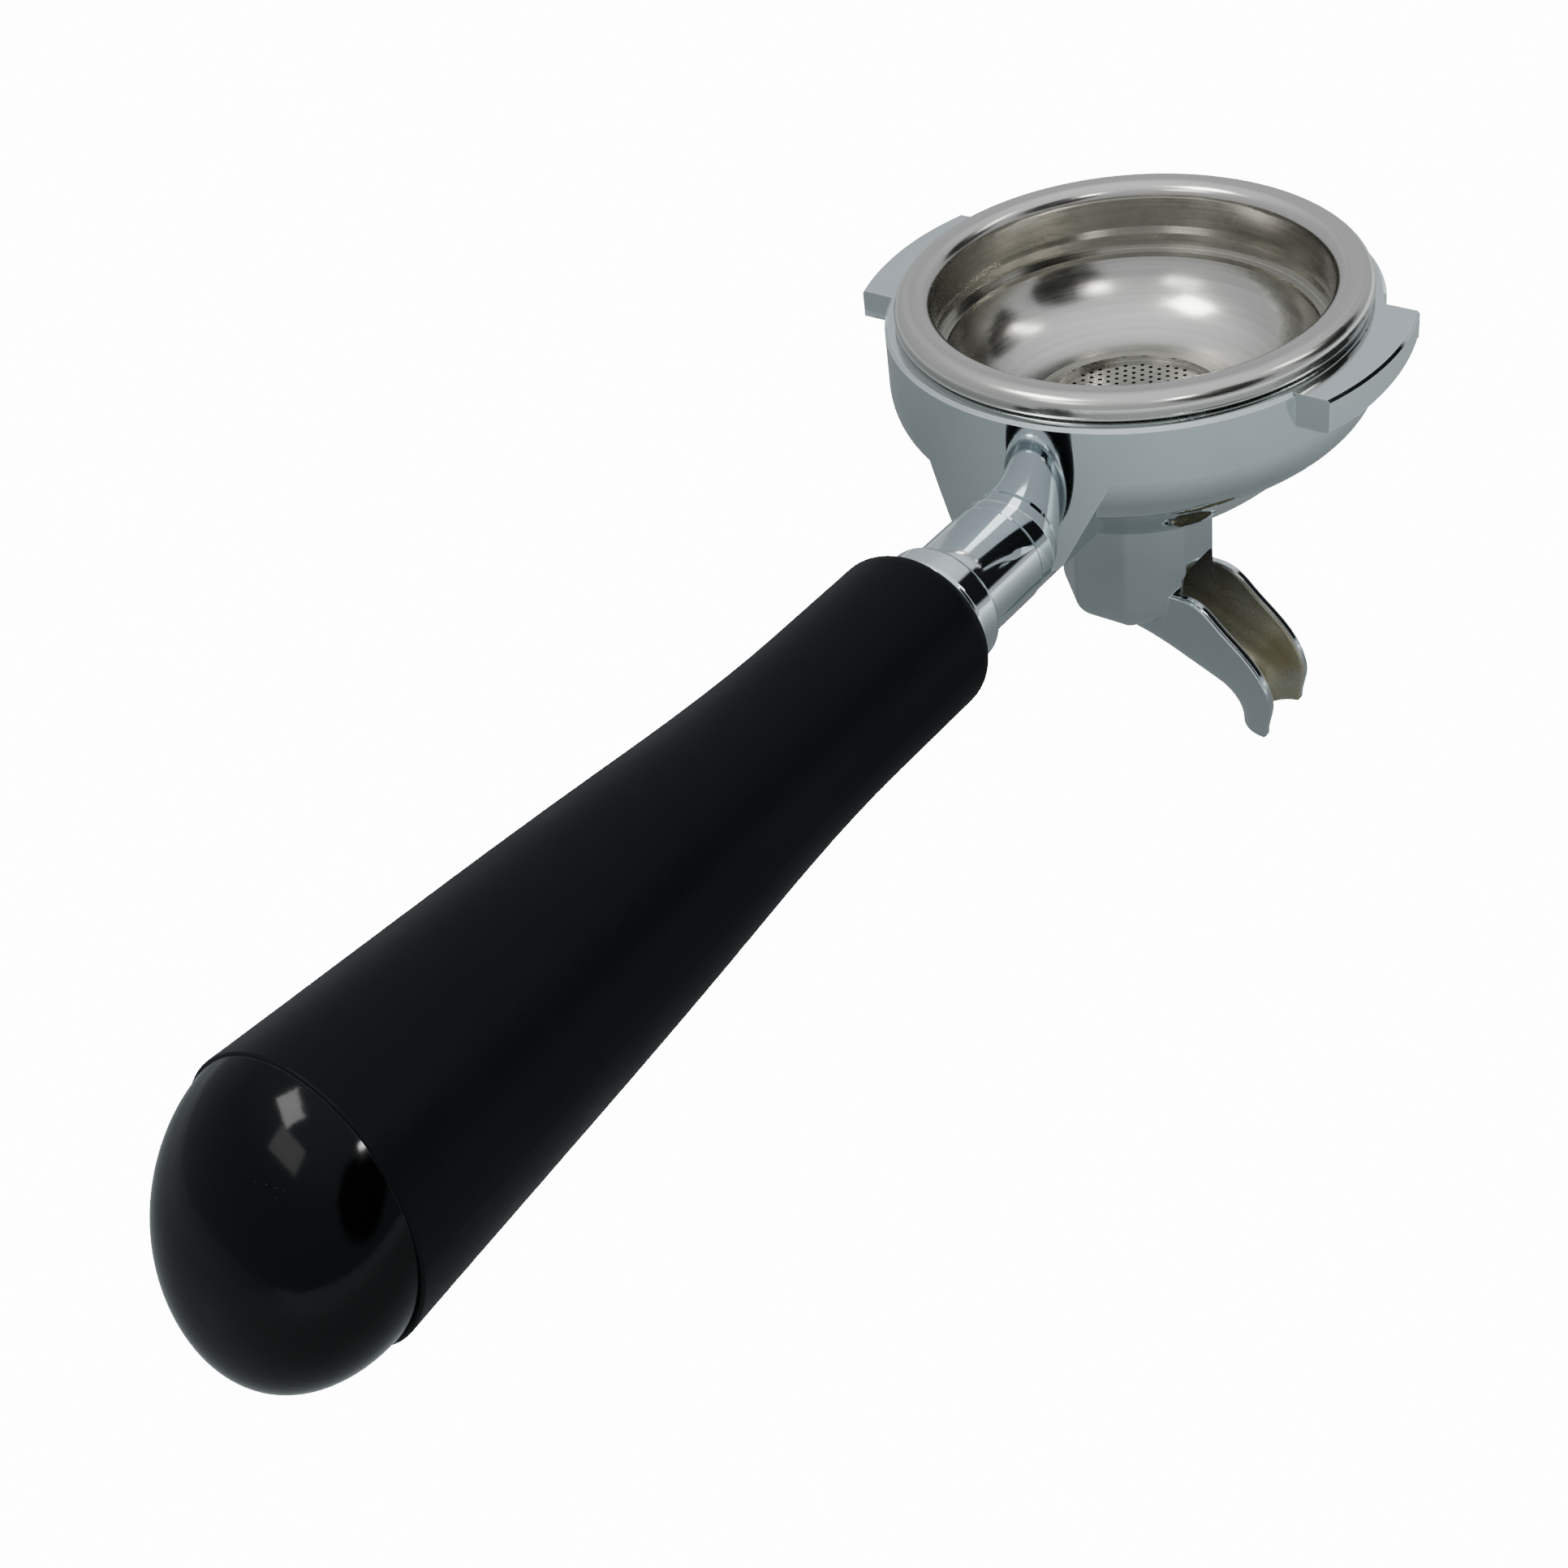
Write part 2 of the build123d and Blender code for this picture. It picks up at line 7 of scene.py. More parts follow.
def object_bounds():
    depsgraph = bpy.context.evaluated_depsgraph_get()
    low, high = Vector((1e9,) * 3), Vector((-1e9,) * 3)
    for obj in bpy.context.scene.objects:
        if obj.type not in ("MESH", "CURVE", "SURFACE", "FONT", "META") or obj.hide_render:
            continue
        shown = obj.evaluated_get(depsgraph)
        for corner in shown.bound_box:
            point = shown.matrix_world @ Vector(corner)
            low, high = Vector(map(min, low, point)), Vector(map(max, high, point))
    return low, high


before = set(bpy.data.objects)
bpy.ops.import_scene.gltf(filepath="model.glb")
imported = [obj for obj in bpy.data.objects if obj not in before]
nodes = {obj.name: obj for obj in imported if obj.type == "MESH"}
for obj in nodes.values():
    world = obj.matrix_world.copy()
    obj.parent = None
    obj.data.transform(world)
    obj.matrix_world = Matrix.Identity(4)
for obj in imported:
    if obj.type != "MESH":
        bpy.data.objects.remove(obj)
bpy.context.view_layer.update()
print("frame loaded:", len(nodes), "pieces")

# node helpers

def addNode(tree, kind, place=(0, 0), **settings):
    node = tree.nodes.new(kind)
    node.location = place
    for key, value in settings.items():
        setattr(node, key, value)
    return node


def setInput(node, values):
    for key, value in values.items():
        node.inputs[key].default_value = value


def noiseNode(tree, vector, scale, detail=3.0, rough=0.5, place=(0, 0)):
    node = addNode(tree, "ShaderNodeTexNoise", place)
    setInput(node, {"Scale": scale, "Detail": detail, "Roughness": rough})
    if vector is not None:
        tree.links.new(vector, node.inputs["Vector"])
    return node


def mapRange(tree, value, fromLow, fromHigh, toLow, toHigh, place=(0, 0)):
    node = addNode(tree, "ShaderNodeMapRange", place)
    setInput(node, {"From Min": fromLow, "From Max": fromHigh, "To Min": toLow, "To Max": toHigh})
    tree.links.new(value, node.inputs["Value"])
    return node.outputs["Result"]


def mathNode(tree, kind, first, second=None, place=(0, 0), clamp=False):
    node = addNode(tree, "ShaderNodeMath", place, operation=kind, use_clamp=clamp)
    for slot, value in enumerate((first, second)):
        if value is None:
            continue
        if isinstance(value, (int, float)):
            node.inputs[slot].default_value = value
        else:
            tree.links.new(value, node.inputs[slot])
    return node.outputs[0]


def mixColour(tree, mask, first, second, place=(0, 0)):
    node = addNode(tree, "ShaderNodeMix", place, data_type="RGBA")
    for slot, value in ((0, mask), (6, first), (7, second)):
        if isinstance(value, (int, float, tuple)):
            node.inputs[slot].default_value = value
        else:
            tree.links.new(value, node.inputs[slot])
    return node.outputs[2]


def newGroup(name, inputs, outputs):
    tree = bpy.data.node_groups.new(name, "ShaderNodeTree")
    for label, kind, value in inputs:
        socket = tree.interface.new_socket(label, in_out="INPUT", socket_type=kind)
        if value is not None:
            socket.default_value = value
    for label, kind in outputs:
        tree.interface.new_socket(label, in_out="OUTPUT", socket_type=kind)
    start = addNode(tree, "NodeGroupInput", (-900, 0))
    end = addNode(tree, "NodeGroupOutput", (700, 0))
    return tree, start, end


def useGroup(tree, group, place, **values):
    node = addNode(tree, "ShaderNodeGroup", place, node_tree=group)
    for key, value in values.items():
        node.inputs[key].default_value = value
    return node


# shared effects

def buildEdgeWearAndHighlight():
    # lighter line where the surface turns sharply: partly edge wear, partly a painted highlight along the
    # edge
    tree, start, end = newGroup(
        "edgeWear", [("Width", "NodeSocketFloat", 0.0004), ("Breakup", "NodeSocketFloat", 900.0)],
        [("Mask", "NodeSocketFloat")])
    bevel = addNode(tree, "ShaderNodeBevel", (-600, 100), samples=6)
    tree.links.new(start.outputs["Width"], bevel.inputs["Radius"])
    geometry = addNode(tree, "ShaderNodeNewGeometry", (-600, -100))
    dot = addNode(tree, "ShaderNodeVectorMath", (-400, 0), operation="DOT_PRODUCT")
    tree.links.new(bevel.outputs[0], dot.inputs[0])
    tree.links.new(geometry.outputs["Normal"], dot.inputs[1])
    turned = mapRange(tree, dot.outputs["Value"], 0.985, 0.88, 0.0, 1.0, (-200, 0))
    where = addNode(tree, "ShaderNodeTexCoord", (-800, -300))
    broken = noiseNode(tree, where.outputs["Object"], 900.0, 4.0, 0.6, (-600, -300))
    tree.links.new(start.outputs["Breakup"], broken.inputs["Scale"])
    patchy = mapRange(tree, broken.outputs["Fac"], 0.35, 0.6, 0.35, 1.0, (-200, -300))
    tree.links.new(mathNode(tree, "MULTIPLY", turned, patchy, (100, 0)), end.inputs["Mask"])
    return tree


def buildHandling():
    # wide soft smudges with finer wipe marks inside them
    tree, start, end = newGroup(
        "handlingMarks", [("Scale", "NodeSocketFloat", 60.0)],
        [("Smudge", "NodeSocketFloat"), ("Wipe", "NodeSocketFloat")])
    where = addNode(tree, "ShaderNodeTexCoord", (-900, -200))
    soft = noiseNode(tree, where.outputs["Object"], 60.0, 4.0, 0.55, (-600, 100))
    tree.links.new(start.outputs["Scale"], soft.inputs["Scale"])
    stretch = addNode(tree, "ShaderNodeMapping", (-700, -300))
    setInput(stretch, {"Scale": (9.0, 1.0, 5.0), "Rotation": (0.5, 0.3, 0.9)})
    tree.links.new(where.outputs["Object"], stretch.inputs["Vector"])
    wipe = noiseNode(tree, stretch.outputs[0], 160.0, 5.0, 0.7, (-500, -300))
    smudge = mapRange(tree, soft.outputs["Fac"], 0.42, 0.66, 0.0, 1.0, (-200, 100))
    tree.links.new(smudge, end.inputs["Smudge"])
    tree.links.new(mapRange(tree, wipe.outputs["Fac"], 0.4, 0.7, 0.0, 1.0, (-200, -300)), end.inputs["Wipe"])
    return tree


def buildPits():
    # scattered pinholes, only where a coarse noise lets them through
    tree, start, end = newGroup(
        "castPits", [("Scale", "NodeSocketFloat", 420.0), ("Amount", "NodeSocketFloat", 0.08)],
        [("Mask", "NodeSocketFloat"), ("Height", "NodeSocketFloat")])
    where = addNode(tree, "ShaderNodeTexCoord", (-900, 0))
    cells = addNode(tree, "ShaderNodeTexVoronoi", (-600, 0), feature="F1")
    setInput(cells, {"Randomness": 1.0})
    tree.links.new(where.outputs["Object"], cells.inputs["Vector"])
    tree.links.new(start.outputs["Scale"], cells.inputs["Scale"])
    cut = addNode(tree, "ShaderNodeMapRange", (-200, 0))
    setInput(cut, {"From Min": 0.0, "To Min": 1.0, "To Max": 0.0})
    tree.links.new(cells.outputs["Distance"], cut.inputs["Value"])
    tree.links.new(start.outputs["Amount"], cut.inputs["From Max"])
    rare = noiseNode(tree, where.outputs["Object"], 170.0, 2.0, 0.5, (-600, -300))
    chosen = mapRange(tree, rare.outputs["Fac"], 0.64, 0.70, 0.0, 1.0, (-200, -300))
    mask = mathNode(tree, "MULTIPLY", cut.outputs["Result"], chosen, (100, 0))
    tree.links.new(mask, end.inputs["Mask"])
    tree.links.new(mathNode(tree, "MULTIPLY", mask, -1.0, (300, -100)), end.inputs["Height"])
    return tree


edgeWear = buildEdgeWearAndHighlight()
handlingMarks = buildHandling()
castPits = buildPits()
print("shared effects ready")


# finishes

def startMaterial(name, colour, metal, rough):
    material = bpy.data.materials.new(name)
    material.use_nodes = True
    tree = material.node_tree
    shader = tree.nodes["Principled BSDF"]
    setInput(shader, {"Base Color": (*colour, 1.0), "Metallic": metal, "Roughness": rough})
    material.diffuse_color = (*colour, 1.0)
    return material, tree, shader


def addBump(tree, shader, height, strength, distance, place=(-200, -400), under=None):
    bump = addNode(tree, "ShaderNodeBump", place)
    setInput(bump, {"Strength": strength, "Distance": distance})
    tree.links.new(height, bump.inputs["Height"])
    if under is not None:
        tree.links.new(under, bump.inputs["Normal"])
    tree.links.new(bump.outputs["Normal"], shader.inputs["Normal"])
    return bump.outputs["Normal"]


chromeLook = {
    "colour": (0.60, 0.645, 0.655), "dull": (0.50, 0.54, 0.55), "edge": (0.88, 0.90, 0.92), "roughLow": 0.04,
    "roughHigh": 0.13, "ripple": 0.00016, "pitScale": 420.0, "pitAmount": 0.075, "edgeWidth": 0.0005,
    "pit": (0.03, 0.03, 0.035), "smudgeShare": 0.45,
}


def makeChrome(name, look, stain=None):
    material, tree, shader = startMaterial(name, look["colour"], 1.0, look["roughLow"])
    marks = useGroup(tree, handlingMarks, (-1100, 100), Scale=55.0)
    wearAndHighlight = useGroup(tree, edgeWear, (-1100, -100), Width=look["edgeWidth"], Breakup=700.0)
    pits = useGroup(tree, castPits, (-1100, -300), Scale=look["pitScale"], Amount=look["pitAmount"])
    where = addNode(tree, "ShaderNodeTexCoord", (-1300, -500))
    smudgeShare = mathNode(tree, "MULTIPLY", marks.outputs["Smudge"], look["smudgeShare"], (-900, 150))
    colour = mixColour(tree, smudgeShare, (*look["colour"], 1.0), (*look["dull"], 1.0), (-700, 200))
    # edges lighter: partly wear, partly a painted highlight
    colour = mixColour(tree, wearAndHighlight.outputs["Mask"], colour, (*look["edge"], 1.0), (-500, 200))
    colour = mixColour(tree, pits.outputs["Mask"], colour, (*look["pit"], 1.0), (-300, 200))
    wipeShare = mathNode(tree, "MULTIPLY", marks.outputs["Wipe"], marks.outputs["Smudge"], (-900, 0))
    rough = mapRange(tree, wipeShare, 0.0, 1.0, look["roughLow"], look["roughHigh"], (-700, 0))
    if stain is not None:
        mask, depth = stain(tree, where)
        film = mixColour(tree, depth, filmLook["deepColour"], filmLook["openColour"], (-400, 450))
        colour = mixColour(tree, mask, colour, film, (-150, 300))
        metal = mapRange(tree, mask, 0.0, 1.0, 1.0, filmLook["metal"], (-300, 100))
        tree.links.new(metal, shader.inputs["Metallic"])
        lift = mathNode(tree, "MULTIPLY", mask, filmLook["roughLift"], (-500, -60))
        rough = mathNode(tree, "ADD", rough, lift, (-300, 0))
    tree.links.new(colour, shader.inputs["Base Color"])
    tree.links.new(rough, shader.inputs["Roughness"])
    ripple = noiseNode(tree, where.outputs["Object"], 34.0, 2.0, 0.45, (-900, -500))
    soft = addBump(tree, shader, ripple.outputs["Fac"], 1.0, look["ripple"], (-500, -500))
    addBump(tree, shader, pits.outputs["Height"], 0.8, 0.00012, (-200, -400), soft)
    return material


filmLook = {
    "deepColour": (0.030, 0.027, 0.017, 1.0), "openColour": (0.260, 0.235, 0.135, 1.0),
    "metal": 0.45, "roughLift": 0.28, "inward": 0.006, "facingLow": 0.0008, "facingHigh": 0.0026,
    "sideEnd": 0.0054, "sideFull": 0.0048, "topEnd": -0.0430, "topFull": -0.0445,
    "deepEnd": -0.0450, "openFull": -0.0560,
}


def channelStain(tree, where):
    # coffee film on the floor and sides of the spout's open channel, where the surface faces into it;
    # the normal is in world space and the point in object space, which agree only with the spout at rest
    split = addNode(tree, "ShaderNodeSeparateXYZ", (-1300, -700))
    tree.links.new(where.outputs["Object"], split.inputs[0])
    geometry = addNode(tree, "ShaderNodeNewGeometry", (-1300, -900))
    inward = addNode(tree, "ShaderNodeCombineXYZ", (-1100, -700))
    setInput(inward, {"X": filmLook["inward"], "Z": filmLook["inward"]})
    tree.links.new(mathNode(tree, "MULTIPLY", split.outputs["Y"], -1.0, (-1200, -800)), inward.inputs["Y"])
    facing = addNode(tree, "ShaderNodeVectorMath", (-900, -800), operation="DOT_PRODUCT")
    tree.links.new(geometry.outputs["Normal"], facing.inputs[0])
    tree.links.new(inward.outputs[0], facing.inputs[1])
    inside = mapRange(tree, facing.outputs["Value"], filmLook["facingLow"], filmLook["facingHigh"],
                      0.0, 1.0, (-700, -800))
    side = mathNode(tree, "ABSOLUTE", split.outputs["Y"], None, (-900, -650))
    within = mapRange(tree, side, filmLook["sideEnd"], filmLook["sideFull"], 0.0, 1.0, (-700, -650))
    lower = mapRange(tree, split.outputs["Z"], filmLook["topEnd"], filmLook["topFull"],
                     0.0, 1.0, (-700, -700))
    patch = noiseNode(tree, where.outputs["Object"], 150.0, 4.0, 0.6, (-900, -1100))
    uneven = mapRange(tree, patch.outputs["Fac"], 0.3, 0.7, 0.65, 1.0, (-700, -1100))
    mask = mathNode(tree, "MULTIPLY", within, lower, (-500, -700))
    mask = mathNode(tree, "MULTIPLY", mask, inside, (-350, -750))
    # the film colour runs from near black high in the channel to tan lower down towards the tip
    depth = mapRange(tree, split.outputs["Z"], filmLook["deepEnd"], filmLook["openFull"],
                     0.0, 1.0, (-500, -1000))
    return mathNode(tree, "MULTIPLY", mask, uneven, (-200, -900), clamp=True), depth


steelLook = {
    "colour": (0.53, 0.515, 0.475), "dark": (0.44, 0.43, 0.39), "roughLow": 0.14, "roughHigh": 0.22,
    "brushFine": 5200.0, "brushWide": 900.0, "brushDepth": 0.0000015,
    "brushDrift": 0.0006, "smear": 0.06, "edge": (0.82, 0.81, 0.79),
}


def brushedRound(tree, where, fine, wide, drift):
    # rings round the Z axis: noise that changes with radius and height but hardly round the turn
    split = addNode(tree, "ShaderNodeSeparateXYZ", (-1500, -300))
    tree.links.new(where.outputs["Object"], split.inputs[0])
    square = [mathNode(tree, "MULTIPLY", split.outputs[axis], split.outputs[axis], (-1300, -300 - 100 * step))
              for step, axis in enumerate("XY")]
    total = mathNode(tree, "ADD", square[0], square[1], (-1150, -300))
    radius = mathNode(tree, "SQRT", total, None, (-1000, -300))
    turn = mathNode(tree, "ARCTAN2", split.outputs["Y"], split.outputs["X"], (-1150, -500))
    wobble = mathNode(tree, "SINE", turn, None, (-1000, -500))
    drift = mathNode(tree, "MULTIPLY", wobble, drift, (-850, -500))
    joined = addNode(tree, "ShaderNodeCombineXYZ", (-700, -300))
    tree.links.new(radius, joined.inputs[0])
    tree.links.new(drift, joined.inputs[1])
    tree.links.new(split.outputs["Z"], joined.inputs[2])
    fineNoise = noiseNode(tree, joined.outputs[0], fine, 3.0, 0.6, (-500, -250))
    wideNoise = noiseNode(tree, joined.outputs[0], wide, 3.0, 0.5, (-500, -450))
    return fineNoise.outputs["Fac"], wideNoise.outputs["Fac"]


def makeSteel(name, look):
    material, tree, shader = startMaterial(name, look["colour"], 1.0, look["roughHigh"])
    where = addNode(tree, "ShaderNodeTexCoord", (-1700, -300))
    fine, wide = brushedRound(tree, where, look["brushFine"], look["brushWide"], look["brushDrift"])
    wearAndHighlight = useGroup(tree, edgeWear, (-500, 100), Width=0.0002, Breakup=900.0)
    marks = useGroup(tree, handlingMarks, (-500, 300), Scale=70.0)
    band = mapRange(tree, wide, 0.3, 0.7, 0.0, 1.0, (-300, -450))
    colour = mixColour(tree, band, (*look["dark"], 1.0), (*look["colour"], 1.0), (-150, 200))
    # edges lighter: partly wear, partly a painted highlight
    colour = mixColour(tree, wearAndHighlight.outputs["Mask"], colour, (*look["edge"], 1.0), (0, 200))
    rough = mapRange(tree, fine, 0.25, 0.75, look["roughLow"], look["roughHigh"], (-300, -250))
    smear = mathNode(tree, "MULTIPLY", marks.outputs["Smudge"], look["smear"], (-300, 300))
    rough = mathNode(tree, "ADD", rough, smear, (-100, 0))
    tree.links.new(colour, shader.inputs["Base Color"])
    tree.links.new(rough, shader.inputs["Roughness"])
    both = mathNode(tree, "ADD", fine, mathNode(tree, "MULTIPLY", wide, 1.5, (-300, -600)), (-150, -500))
    addBump(tree, shader, both, 0.6, look["brushDepth"], (0, -400))
    return material


gripLook = {"colour": (0.0012, 0.0016, 0.0020), "worn": (0.0022, 0.0026, 0.0030), "roughLow": 0.36,
            "roughHigh": 0.46, "edge": (0.010, 0.011, 0.012), "shine": 0.07, "tooth": 0.05}


def makeMoulding(name, look):
    material, tree, shader = startMaterial(name, look["colour"], 0.0, look["roughHigh"])
    setInput(shader, {"Specular IOR Level": look["shine"]})
    where = addNode(tree, "ShaderNodeTexCoord", (-1300, -300))
    marks = useGroup(tree, handlingMarks, (-1000, 200), Scale=32.0)
    wearAndHighlight = useGroup(tree, edgeWear, (-1000, 0), Width=0.0006, Breakup=500.0)
    grain = noiseNode(tree, where.outputs["Object"], 2600.0, 3.0, 0.6, (-1000, -300))
    mottle = noiseNode(tree, where.outputs["Object"], 48.0, 4.0, 0.6, (-1000, -500))
    shade = mapRange(tree, mottle.outputs["Fac"], 0.3, 0.7, 0.0, 0.6, (-800, -500))
    colour = mixColour(tree, shade, (*look["colour"], 1.0), (*look["worn"], 1.0), (-500, 200))
    # edges lighter: partly wear, partly a painted highlight
    edgeShare = mathNode(tree, "MULTIPLY", wearAndHighlight.outputs["Mask"], 0.6, (-700, 0))
    colour = mixColour(tree, edgeShare, colour, (*look["edge"], 1.0), (-300, 200))
    rough = mapRange(tree, marks.outputs["Smudge"], 0.0, 1.0,
                     look["roughHigh"], look["roughLow"], (-700, 100))
    tooth = mathNode(tree, "MULTIPLY", grain.outputs["Fac"], look["tooth"], (-700, -200))
    rough = mathNode(tree, "ADD", rough, tooth, (-400, 0))
    tree.links.new(colour, shader.inputs["Base Color"])
    tree.links.new(rough, shader.inputs["Roughness"])
    addBump(tree, shader, grain.outputs["Fac"], 0.35, 0.00006, (-300, -300))
    return material


capLook = {"colour": (0.0006, 0.0007, 0.0009), "rough": 0.10, "scuffed": 0.20,
           "speck": (0.05, 0.048, 0.045), "edge": (0.02, 0.02, 0.022), "shine": 0.10}


def makeGloss(name, look):
    material, tree, shader = startMaterial(name, look["colour"], 0.0, look["rough"])
    setInput(shader, {"Specular IOR Level": look["shine"]})
    where = addNode(tree, "ShaderNodeTexCoord", (-1300, -300))
    marks = useGroup(tree, handlingMarks, (-1000, 200), Scale=60.0)
    specks = useGroup(tree, castPits, (-1000, 0), Scale=900.0, Amount=0.10)
    wearAndHighlight = useGroup(tree, edgeWear, (-1000, -150), Width=0.0004, Breakup=700.0)
    colour = mixColour(tree, specks.outputs["Mask"], (*look["colour"], 1.0), (*look["speck"], 1.0),
                       (-500, 200))
    # edges lighter: partly wear, partly a painted highlight
    edgeShare = mathNode(tree, "MULTIPLY", wearAndHighlight.outputs["Mask"], 0.5, (-700, -100))
    colour = mixColour(tree, edgeShare, colour, (*look["edge"], 1.0), (-300, 200))
    haze = mathNode(tree, "MULTIPLY", marks.outputs["Smudge"], marks.outputs["Wipe"], (-750, 100))
    rough = mapRange(tree, haze, 0.0, 1.0, look["rough"], look["scuffed"], (-500, 0))
    tree.links.new(colour, shader.inputs["Base Color"])
    tree.links.new(rough, shader.inputs["Roughness"])
    wave = noiseNode(tree, where.outputs["Object"], 60.0, 1.0, 0.4, (-700, -400))
    addBump(tree, shader, wave.outputs["Fac"], 0.5, 0.00008, (-300, -300))
    return material


def makePlain(name, colour, metal, roughLow, roughHigh, grainScale, grainDepth):
    # small hidden hardware and soft rings: one grain, one edge line
    material, tree, shader = startMaterial(name, colour, metal, roughHigh)
    where = addNode(tree, "ShaderNodeTexCoord", (-1100, -200))
    grain = noiseNode(tree, where.outputs["Object"], grainScale, 4.0, 0.6, (-900, -200))
    wearAndHighlight = useGroup(tree, edgeWear, (-900, 100), Width=0.0003, Breakup=900.0)
    darker = tuple(0.7 * part for part in colour)
    edgeWearHighlightTone = tuple(min(1.0, 1.35 * part + 0.02) for part in colour)
    tint = mixColour(tree, mapRange(tree, grain.outputs["Fac"], 0.3, 0.7, 0.0, 1.0, (-700, -100)),
                     (*colour, 1.0), (*darker, 1.0), (-500, 100))
    # edges lighter: partly wear, partly a painted highlight
    tint = mixColour(tree, wearAndHighlight.outputs["Mask"], tint, (*edgeWearHighlightTone, 1.0), (-300, 100))
    tree.links.new(tint, shader.inputs["Base Color"])
    rough = mapRange(tree, grain.outputs["Fac"], 0.3, 0.7, roughLow, roughHigh, (-500, -100))
    tree.links.new(rough, shader.inputs["Roughness"])
    addBump(tree, shader, grain.outputs["Fac"], 0.4, grainDepth, (-300, -300))
    return material


chromePlate = makeChrome("chromePlate", chromeLook)
spoutChrome = makeChrome("spoutChrome", chromeLook, channelStain)
stainlessSheet = makeSteel("stainlessSheet", steelLook)
gripMoulding = makeMoulding("gripMoulding", gripLook)
capGloss = makeGloss("capGloss", capLook)
springWire = makePlain("springWire", (0.42, 0.42, 0.42), 1.0, 0.22, 0.38, 1800.0, 0.00001)
zincSteel = makePlain("zincSteel", (0.50, 0.51, 0.53), 1.0, 0.28, 0.46, 900.0, 0.00002)
sealFibre = makePlain("sealFibre", (0.30, 0.10, 0.06), 0.0, 0.70, 0.90, 1400.0, 0.00006)
cushionRubber = makePlain("cushionRubber", (0.02, 0.02, 0.021), 0.0, 0.55, 0.75, 1500.0, 0.00004)

finishes = {
    "portafilter_body": chromePlate, "spout": spoutChrome, "stem_sleeve": chromePlate, "ferrule": chromePlate,
    "filter_basket": stainlessSheet, "basket_spring": springWire, "bolt_lock_washer": springWire,
    "outlet_seal": sealFibre, "grip_cushion": cushionRubber, "cap_ring": cushionRubber, "grip": gripMoulding,
    "end_cap": capGloss, "handle_bolt": zincSteel, "bolt_washer": zincSteel,
}
for name, material in finishes.items():
    piece = nodes[name]
    if not piece.data.materials:
        piece.data.materials.append(material)
    for slot in piece.material_slots:
        slot.material = material
print("finishes on", len(finishes), "pieces")


# studio

studio = {
    "floorDrop": 0.0004, "floorSize": 6.0, "floorTone": (0.93, 0.93, 0.93),
    "floorGlow": 15.0, "floorGlowShare": 0.95, "floorShade": (0.90, 1.0, 1.03, 1.0),
    "floorNear": 0.24, "floorFar": 1.1, "floorNearReach": 0.05, "floorFarReach": 0.45,
    "backdrop": (15.0, 15.0, 15.0, 1.0),
    "skyLow": 0.62, "skyMiddle": 0.80, "skyTop": 1.5, "skyBend": 0.6, "skyTint": (0.95, 1.0, 1.06),
    "floorLeft": 0.75, "floorRight": 1.45, "floorAcross": 0.12,
    "roomSides": (((0.62, 0.66, 0.42), 0.957, 0.925), ((0.83, -0.24, 0.50), 0.945, 0.915)), "roomDark": 0.02,
}


def makeFloor():
    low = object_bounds()[0][2] - studio["floorDrop"]
    mesh = bpy.data.meshes.new("studioFloor")
    made = bmesh.new()
    bmesh.ops.create_grid(made, x_segments=1, y_segments=1, size=studio["floorSize"] / 2)
    bmesh.ops.translate(made, vec=(0, 0, low), verts=made.verts)
    made.to_mesh(mesh)
    made.free()
    floor = bpy.data.objects.new("studioFloor", mesh)
    bpy.context.scene.collection.objects.link(floor)
    material, tree, shader = startMaterial("floorPaper", studio["floorTone"], 0.0, 0.9)
    # reflections see a painted shade on the paper: a glow that falls off under the part and brightens towards
    # +X; the camera sees it glow near white
    where = addNode(tree, "ShaderNodeTexCoord", (-1300, 0))
    flat = addNode(tree, "ShaderNodeVectorMath", (-1100, 0), operation="MULTIPLY")
    flat.inputs[1].default_value = (1, 1, 0)
    tree.links.new(where.outputs["Object"], flat.inputs[0])
    reach = addNode(tree, "ShaderNodeVectorMath", (-900, 0), operation="LENGTH")
    tree.links.new(flat.outputs[0], reach.inputs[0])
    shade = mapRange(tree, reach.outputs["Value"], studio["floorNearReach"], studio["floorFarReach"],
                     studio["floorNear"], studio["floorFar"], (-700, 0))
    across = addNode(tree, "ShaderNodeSeparateXYZ", (-900, -200))
    tree.links.new(where.outputs["Object"], across.inputs[0])
    # painted light: the glow seen in reflections brightens towards +X
    paintedSideLight = mapRange(tree, across.outputs["X"], -studio["floorAcross"], studio["floorAcross"],
                     studio["floorLeft"], studio["floorRight"], (-700, -200))
    shade = mathNode(tree, "MULTIPLY", shade, paintedSideLight, (-500, -100))
    rays = addNode(tree, "ShaderNodeLightPath", (-700, 300))
    # painted shade and light: a glow only reflections see, standing in for the lit floor
    paintedFloorGlow = addNode(tree, "ShaderNodeEmission", (-300, -300))
    tree.links.new(shade, paintedFloorGlow.inputs["Strength"])
    paintedFloorGlow.inputs["Color"].default_value = studio["floorShade"]
    glow = addNode(tree, "ShaderNodeEmission", (-300, 300))
    glow.inputs["Strength"].default_value = studio["floorGlow"]
    share = mathNode(tree, "MULTIPLY", rays.outputs["Is Camera Ray"], studio["floorGlowShare"], (-500, 400))
    seen = addNode(tree, "ShaderNodeMixShader", (0, 200))
    tree.links.new(share, seen.inputs[0])
    tree.links.new(shader.outputs[0], seen.inputs[1])
    tree.links.new(glow.outputs[0], seen.inputs[2])
    both = addNode(tree, "ShaderNodeMixShader", (200, 0))
    tree.links.new(rays.outputs["Is Glossy Ray"], both.inputs[0])
    tree.links.new(seen.outputs[0], both.inputs[1])
    tree.links.new(paintedFloorGlow.outputs[0], both.inputs[2])
    tree.links.new(both.outputs[0], tree.nodes["Material Output"].inputs["Surface"])
    mesh.materials.append(material)


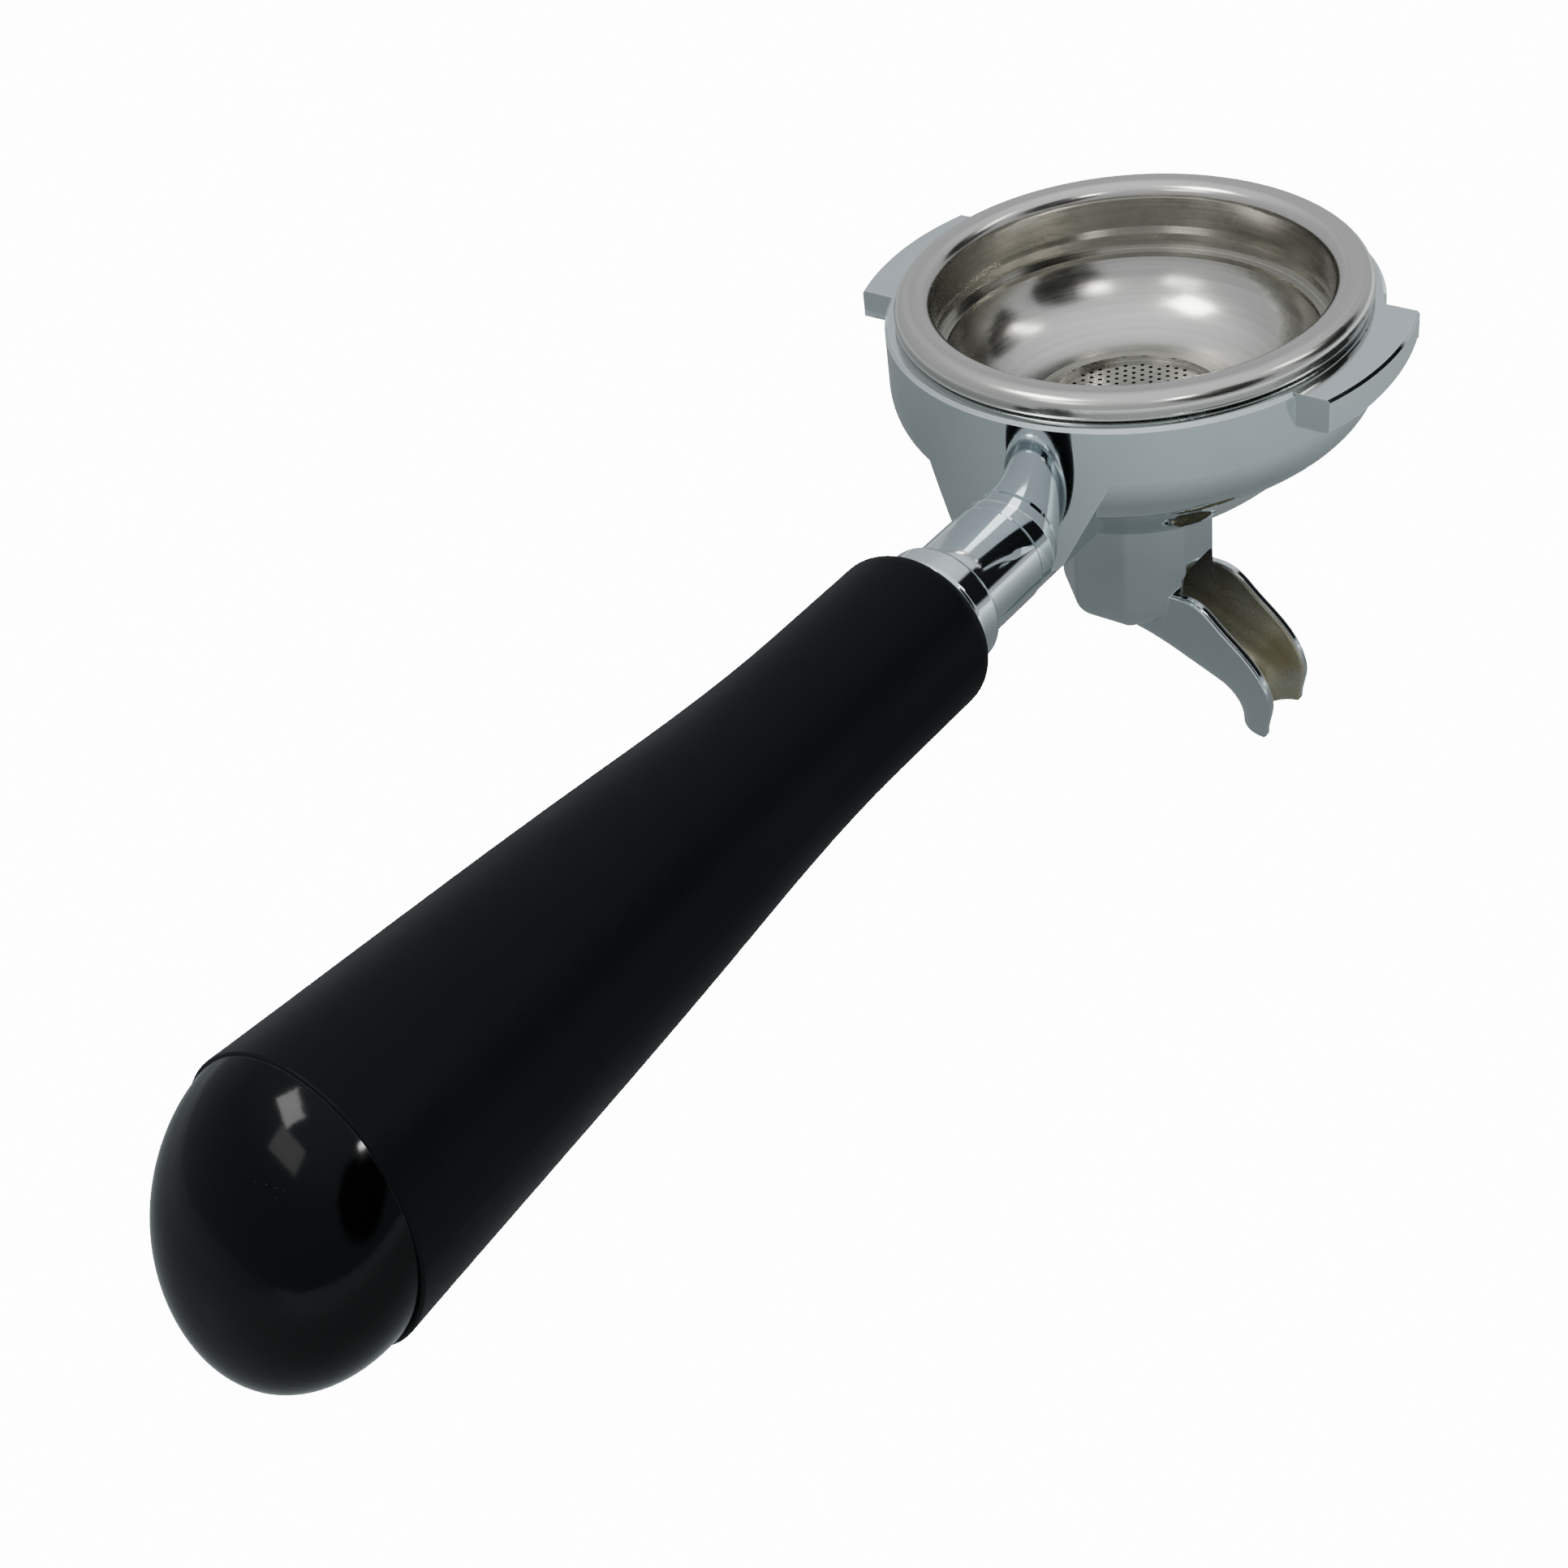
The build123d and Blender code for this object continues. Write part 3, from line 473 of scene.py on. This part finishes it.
def makeWorld():
    world = bpy.data.worlds.new("studioAir")
    bpy.context.scene.world = world
    world.use_nodes = True
    tree = world.node_tree
    back = tree.nodes["Background"]
    where = addNode(tree, "ShaderNodeTexCoord", (-1300, 0))
    split = addNode(tree, "ShaderNodeSeparateXYZ", (-1100, 0))
    tree.links.new(where.outputs["Generated"], split.inputs[0])
    lower = mapRange(tree, split.outputs["Z"], 0.0, studio["skyBend"],
                     studio["skyLow"], studio["skyMiddle"], (-900, 0))
    upper = mapRange(tree, split.outputs["Z"], studio["skyBend"], 1.0,
                     0.0, studio["skyTop"] - studio["skyMiddle"], (-900, -250))
    sky = mathNode(tree, "ADD", lower, upper, (-700, 0))
    level = sky
    for step, (side, narrow, wide) in enumerate(studio["roomSides"]):
        towards = addNode(tree, "ShaderNodeVectorMath", (-1100, 300 + 250 * step), operation="DOT_PRODUCT")
        towards.inputs[1].default_value = Vector(side).normalized()
        tree.links.new(where.outputs["Generated"], towards.inputs[0])
        room = addNode(tree, "ShaderNodeMapRange", (-900, 300 + 250 * step), interpolation_type="SMOOTHSTEP")
        setInput(room, {"From Min": wide, "From Max": narrow, "To Min": 1.0, "To Max": studio["roomDark"]})
        tree.links.new(towards.outputs["Value"], room.inputs["Value"])
        level = mathNode(tree, "MULTIPLY", level, room.outputs["Result"], (-500, 200 * step))
    tint = addNode(tree, "ShaderNodeCombineColor", (-250, 0))
    for channel, share in zip(("Red", "Green", "Blue"), studio["skyTint"]):
        tree.links.new(mathNode(tree, "MULTIPLY", level, share, (-380, 0)), tint.inputs[channel])
    rays = addNode(tree, "ShaderNodeLightPath", (-250, 300))
    seen = mixColour(tree, rays.outputs["Is Camera Ray"], tint.outputs[0], studio["backdrop"], (-50, 100))
    tree.links.new(seen, back.inputs["Color"])
    back.inputs["Strength"].default_value = 1.0


def makeLamp(name, place, target, size, power, mirrored):
    data = bpy.data.lights.new(name, "AREA")
    data.shape = "RECTANGLE"
    data.size, data.size_y = size
    data.energy = power
    lamp = bpy.data.objects.new(name, data)
    bpy.context.scene.collection.objects.link(lamp)
    lamp.location = place
    lamp.rotation_euler = (Vector(target) - Vector(place)).to_track_quat("-Z", "Y").to_euler()
    lamp.visible_glossy = mirrored


aim = (0.0, -0.06, -0.02)
# place, what it faces, width and height, power, whether reflections show it
lamps = {
    "overheadBox": ((-0.25, -0.40, 0.80), aim, (0.30, 0.22), 4.0, True),
    "leftBox": ((-0.9, -0.35, 0.55), aim, (0.5, 0.7), 2.0, False),
    "rightBox": ((0.80, 0.60, 0.95), aim, (0.10, 0.40), 1.6, True),
    "endBox": ((-0.055, -0.47, 0.40), (0.006, -0.188, -0.007), (0.20, 0.12), 0.32, True),
    "sparkBox": ((0.26, -0.18, 0.31), (0.012, -0.183, -0.008), (0.012, 0.020), 0.25, True),
}

makeFloor()
makeWorld()
for name, (place, target, size, power, mirrored) in lamps.items():
    makeLamp(name, place, target, size, power, mirrored)
print("studio ready")


# camera

view = {
    "place": (0.1786, -0.2935, 0.1888), "azimuth": 46.87, "elevation": 39.11, "roll": -11.47,
    "lens": 57.944, "shift": (0.11255, 0.03135),
}


def makeCamera():
    a, e, r = (radians(view[key]) for key in ("azimuth", "elevation", "roll"))
    back = Vector((sin(a) * cos(e), -cos(a) * cos(e), sin(e)))
    level = Vector((cos(a), sin(a), 0))
    rise = back.cross(level)
    right = cos(r) * level + sin(r) * rise
    up = -sin(r) * level + cos(r) * rise
    data = bpy.data.cameras.new("studioCamera")
    data.lens = view["lens"]
    data.sensor_width = 36
    data.shift_x, data.shift_y = view["shift"]
    data.clip_start = 0.01
    data.clip_end = 20
    camera = bpy.data.objects.new("studioCamera", data)
    bpy.context.scene.collection.objects.link(camera)
    camera.matrix_world = Matrix.Translation(view["place"]) @ Matrix((right, up, back)).transposed().to_4x4()
    bpy.context.scene.camera = camera


makeCamera()
